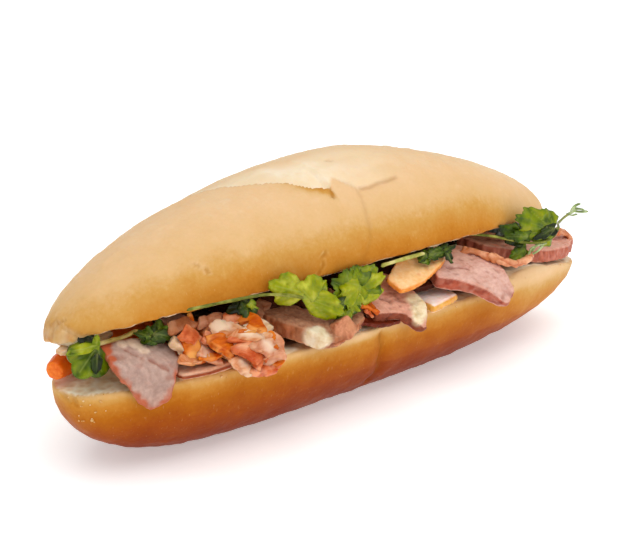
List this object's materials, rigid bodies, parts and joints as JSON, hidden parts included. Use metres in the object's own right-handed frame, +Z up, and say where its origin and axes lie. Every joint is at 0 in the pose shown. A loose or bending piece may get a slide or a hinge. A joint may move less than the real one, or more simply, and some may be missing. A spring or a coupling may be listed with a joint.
{
  "type": "banh mi sandwich",
  "caption": "Stubby golden roll slit open along one side and filled with pork slices, pickled carrot and daikon, and coriander, lying on its flat underside.",
  "frame": {"origin": "middle of the bounding box at the flat underside of the roll", "axes": "+X along the roll, -Y out of the slit on the open side, +Z up"},
  "size_m": [0.2412, 0.0882, 0.0803],
  "materials": {
    "crust": "golden, satin wheat crust over a cream crumb",
    "pork": "moist roast pork, rose pink with pale fat",
    "pork_pale": "moist sliced pork, pale pink with a redder rim",
    "browned_pork": "browned, reddish edge of roast pork",
    "carrot": "wet orange carrot",
    "pickle": "pickled carrot, pale orange and half clear",
    "daikon": "cream-white pickled daikon",
    "coriander_leaf": "fresh green coriander leaf, slightly shiny",
    "coriander_stem": "yellow-green coriander stem"
  },
  "bodies": {
    "root": {"loaf": "crust", "pork_slab_centre": "pork", "pork_chunk": "pork", "pork_slab_end": "pork", "pork_inner_left": "pork", "pork_inner_centre": "pork", "pork_inner_right": "pork", "ham_bit_left": "pork", "pork_slice_left": "pork_pale", "pork_slice_thin": "pork_pale", "pork_slab_right": "pork_pale", "browned_strip": "browned_pork", "browned_end": "browned_pork", "carrot_baton": "carrot", "carrot_wedge": "carrot", "carrot_shred": "carrot", "pickle_heap": "pickle", "carrot_slab": "pickle", "daikon_stick": "daikon", "pale_slab": "daikon", "leaf_left": "coriander_leaf", "leaf_curly": "coriander_leaf", "leaf_dark": "coriander_leaf", "leaf_bright": "coriander_leaf", "leaf_veined": "coriander_leaf", "leaf_upper": "coriander_leaf", "leaf_right": "coriander_leaf", "leaf_small": "coriander_leaf", "stem_centre": "coriander_stem", "stem_upper": "coriander_stem", "stem_right": "coriander_stem"}
  },
  "joints": []
}
